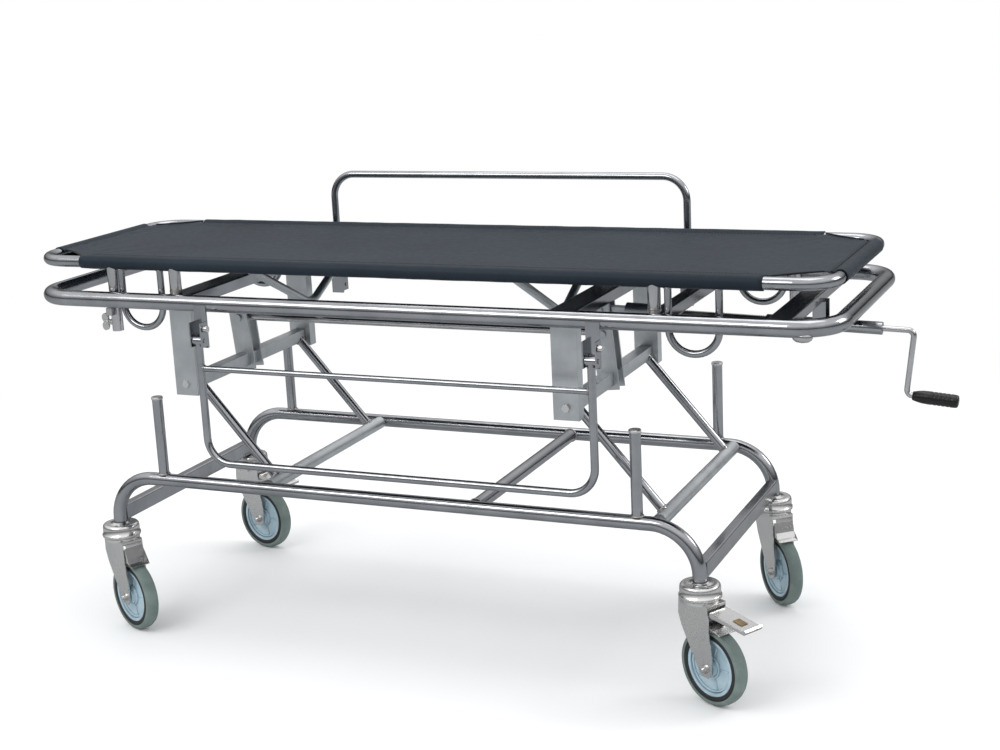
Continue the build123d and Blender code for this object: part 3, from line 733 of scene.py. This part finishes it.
def build_caster(key, x, y, angle, has_pedal):
    cos, sin = math.cos(math.radians(angle)), math.sin(math.radians(angle))

    def local(out, across, z):
        """Point from the swivel axis, out toward the wheel and across it."""
        return place(x + out * cos - across * sin, y + out * sin + across * cos, z)

    axle = Vector((-sin, cos, 0))
    hub = local(WHEEL_TRAIL, 0, WHEEL_Z)
    build_rim_rings(key, hub, axle)
    build_disc_beads(key, hub, axle)
    build_fork_web(key, local, has_pedal)
    build_swivel(key, local(0, 0, 0))
    build_axle_nuts(key, hub, axle)
    if has_pedal:
        build_pedal_inset(key, local)


# ------------------------------------------------------------------ lug and weld beads
def build_rail_lug():
    """Rounded lug at the front of the carrier, near the crank end."""
    profile = [(-21, 1.0), (-19, 6.0), (-12, 10.5), (0, 12.0), (12, 10.5), (19, 6.0), (21, 1.0)]
    mesh = bmesh.new()
    add_lathe(mesh, place(967.0, -310.9, 812.0), (1, 0, 0), profile, 28)
    finish_piece("rail_lug", mesh, "bright_bar", "carrier")


def build_base_welds():
    mesh = bmesh.new()
    for side in SIDES:
        for x in (-599.0, 606.0):
            add_bead(mesh, place(x, side * BASE_HALF_WIDTH, 403.6), (0, 0, 1),
                     radius=13.0, thickness=2.0)
        add_bead(mesh, place(221.0, side * 292.6, 388), (0, 1, 0), radius=16.0, thickness=2.2)
    finish_piece("base_welds", mesh, "weld", "base")


def build_link_welds(body, foot_x):
    top_x = foot_x - LINK_SHIFT
    rise = (place(top_x, 0, LINK_TOP_Z) - place(foot_x, 0, LINK_FOOT_Z)).normalized()
    mesh = bmesh.new()
    for side in SIDES:
        y = side * LINK_Y
        for centre in (place(foot_x, y, LINK_FOOT_Z) + rise * 0.0165,
                       place(top_x, y, LINK_TOP_Z) - rise * 0.0185):
            add_bead(mesh, centre, rise, radius=11.2, thickness=2.0)
    finish_piece("welds_" + body, mesh, "weld", body)


def build_litter_welds():
    """Beads under the litter tubes, and flared collars further down (height, radius)."""
    collar = [(842.6, 9.0), (843.2, 12.5), (845.5, 14.6), (849.0, 14.9), (852.0, 14.3)]
    mesh = bmesh.new()
    for pair_x in (-636.0, 730.0):
        for end in SIDES:
            for side in SIDES:
                add_bead(mesh, place(pair_x + end * 55, side * HALF_WIDTH, 896.5), (0, 0, 1),
                         radius=8.2, thickness=1.5, rings=48)
    for x in (LINK_FEET_X["link_left"] - LINK_SHIFT - 14, 645.0):
        for side in SIDES:
            add_lathe(mesh, place(x, side * HALF_WIDTH, 0), (0, 0, 1), collar, cap=False)
    finish_piece("litter_welds", mesh, "weld", "litter")


def build_guard_rail_welds(body, y, z):
    mesh = bmesh.new()
    for x in (-441.0 + 9.4, 527.0 - 9.4):
        add_bead(mesh, place(x, y, z), (1, 0, 0), radius=7.2, thickness=1.5, rings=48)
    finish_piece("welds_" + body, mesh, "weld", body)


# ------------------------------------------------------------------ stage, light, camera
def floor_material():
    """Pale floor, darker in reflections, that fades to white away from the object."""
    shader = Shader("floor_pale")
    pale = shader.ramp(shader.noise(0.6, detail=2.0), [(0.3, grey(0.93)), (0.7, grey(0.95))])
    ray = shader.add("LightPath").outputs
    shader.surface({
        "Base Color": shader.mix_color(ray["Is Glossy Ray"], pale, (0.42, 0.43, 0.44, 1)),
        "Roughness": 0.9,
        "Specular IOR Level": 0.1,
    })
    distance = shader.add("VectorMath", {0: shader.coords}, operation="LENGTH").outputs["Value"]
    fade = shader.remap(distance, 0.0, 1.0, start=1.0, end=3.2, interpolation_type="SMOOTHSTEP")
    white = shader.add("Emission", {"Color": (1, 1, 1, 1)}).outputs[0]
    faded = shader.mix_shader(shader.math("MULTIPLY", fade, ray["Is Camera Ray"]),
                              shader.bsdf.outputs[0], white)
    shader.fill(shader.output, {"Surface": faded})
    return shader.material


def build_floor():
    mesh = bmesh.new()
    mesh.faces.new([mesh.verts.new((x, y, 0))
                    for x, y in ((-40, -20), (40, -20), (40, 60), (-40, 60))])
    new_object("floor", mesh, floor_material(), smooth=False)


# (height on the sky sphere from 0 at the bottom to 1 at the top, brightness)
SKY = ((0.0, 0.62), (0.40, 0.44), (0.46, 0.08), (0.535, 0.04), (0.58, 0.30), (0.68, 0.62),
       (0.80, 1.05), (1.0, 1.3))


def build_world():
    """White to the camera, even for diffuse light, banded grey in reflections."""
    world = bpy.data.worlds.new("studio")
    bpy.context.scene.world = world
    world.use_nodes = True
    graph = Graph(world.node_tree)

    def background(color):
        return graph.add("Background", {"Color": color, "Strength": 1.0}).outputs[0]

    ray = graph.add("LightPath").outputs
    direction = graph.add("TexCoord").outputs["Generated"]
    z = graph.add("SeparateXYZ", {0: direction}).outputs["Z"]
    sky = graph.add("ValToRGB", {"Fac": graph.remap(z, 0.0, 1.0, start=-1.0, end=1.0)})
    elements = sky.color_ramp.elements
    for position, level in SKY:
        element = elements.new(position)
        element.color = (level, level, level * 1.02, 1)
    # a new ramp comes with a stop at each end
    elements.remove(elements[0])
    elements.remove(elements[-1])
    lighting = graph.mix_shader(ray["Is Diffuse Ray"], background(sky.outputs["Color"]),
                                background((0.98, 0.99, 1.0, 1)))
    seen = graph.mix_shader(ray["Is Camera Ray"], lighting, background((1, 1, 1, 1)))
    graph.add("OutputWorld", {"Surface": seen})


def add_area_light(name, location, target, size, power):
    light = bpy.data.lights.new(name, "AREA")
    light.shape = "RECTANGLE"
    light.size, light.size_y = size
    light.energy = power
    lamp = bpy.data.objects.new(name, light)
    lamp.location = location
    aim = Vector(target) - Vector(location)
    lamp.rotation_euler = aim.to_track_quat("-Z", "Y").to_euler()
    bpy.context.scene.collection.objects.link(lamp)


def build_camera():
    """Looks from the front right, slightly above."""
    azimuth, elevation, roll = (math.radians(angle) for angle in (23.94, 13.795, -2.781))
    back = Vector((math.sin(azimuth) * math.cos(elevation),
                   -math.cos(azimuth) * math.cos(elevation), math.sin(elevation)))
    level = Vector((math.cos(azimuth), math.sin(azimuth), 0))
    upright = back.cross(level)
    right = level * math.cos(roll) + upright * math.sin(roll)
    up = -level * math.sin(roll) + upright * math.cos(roll)
    pose = Matrix((right, up, back)).transposed().to_4x4()
    pose.translation = place(1767.024, -3610.829, 1584.818)
    lens = bpy.data.cameras.new("camera")
    lens.sensor_fit = "HORIZONTAL"
    lens.sensor_width = 36.0
    lens.lens = 61.709
    lens.clip_end = 100
    camera = bpy.data.objects.new("camera", lens)
    camera.matrix_world = pose
    bpy.context.scene.collection.objects.link(camera)
    bpy.context.scene.camera = camera


# ------------------------------------------------------------------ build
dress_cad_pieces()
build_deck()
build_crease_shade_strand()
build_corner_hems()
build_stitching()
build_screw_thread()
build_crank_grip()
for key, caster in CASTERS.items():
    build_caster(key, *caster)
build_rail_lug()
build_base_welds()
for body, foot_x in LINK_FEET_X.items():
    build_link_welds(body, foot_x)
build_litter_welds()
build_guard_rail_welds("guard_rail_front", y=-345.0, z=748.5 - 66)
build_guard_rail_welds("guard_rail_back", y=345.0, z=748.5 + 66)

build_floor()
build_world()
add_area_light("key", (-1.6, -3.2, 3.6), target=(0, 0, 0.6), size=(3.4, 1.2), power=62)
add_area_light("top", (0.2, 0.6, 4.2), target=(0, 0, 0.6), size=(4.2, 2.0), power=40)
add_area_light("rim", (3.6, 1.8, 2.6), target=(0.3, 0, 0.6), size=(1.6, 1.2), power=34)
build_camera()
bpy.context.scene.view_settings.view_transform = "Standard"
